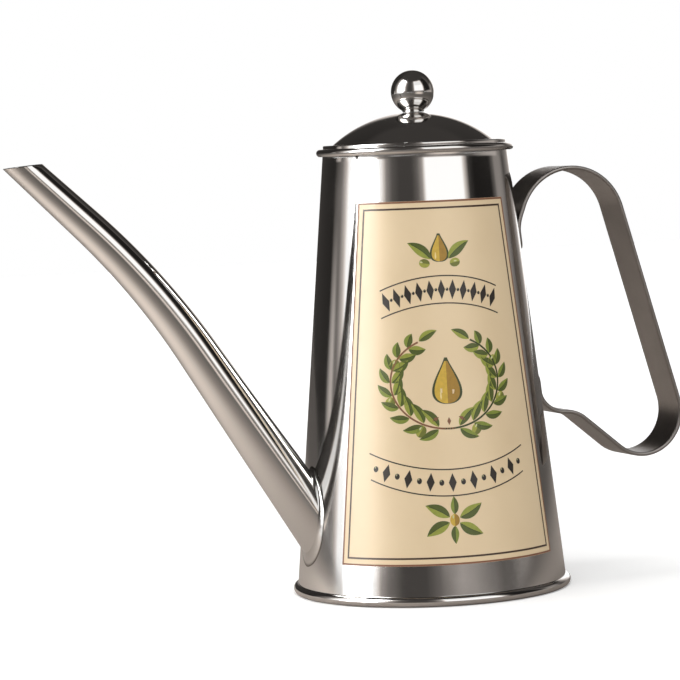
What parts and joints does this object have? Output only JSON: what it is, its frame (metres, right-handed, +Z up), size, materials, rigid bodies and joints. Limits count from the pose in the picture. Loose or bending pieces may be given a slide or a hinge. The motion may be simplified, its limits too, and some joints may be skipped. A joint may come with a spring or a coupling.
{
  "type": "oil can",
  "caption": "Conical sheet-metal oil can with a long bent spout, a strap handle, a printed label and a lift-off domed lid with a ball knob.",
  "frame": {"origin": "centre of the foot ring, on the table", "axes": "+Z up along the can's axis, the spout points to -X, the handle to +X and the label faces -Y"},
  "size_m": [0.2423, 0.0968, 0.1801],
  "materials": {
    "polished_steel": "polished",
    "satin_steel": "satin",
    "printed_film": "glossy print",
    "solder": "smooth",
    "bare_wire": "drawn",
    "seam_compound": "matt",
    "plated_screw": "plated"
  },
  "bodies": {
    "can": {"body_wall": "polished_steel", "mouth_rim_wire": "bare_wire", "base_pan": "polished_steel", "base_seam_seal": "seam_compound", "spout_tube": "polished_steel", "spout_solder": "solder", "handle_strap": "satin_steel", "front_label": "printed_film"},
    "lid": {"lid_dome": "polished_steel", "lid_collar": "polished_steel", "knob": "polished_steel", "knob_screw": "plated_screw", "knob_washer": "plated_screw"}
  },
  "joints": [
    {"name": "lid_lift", "type": "slide", "parent": "can", "child": "lid", "axis": [0, 0, 1], "range_m": [0, 0.04]}
  ]
}
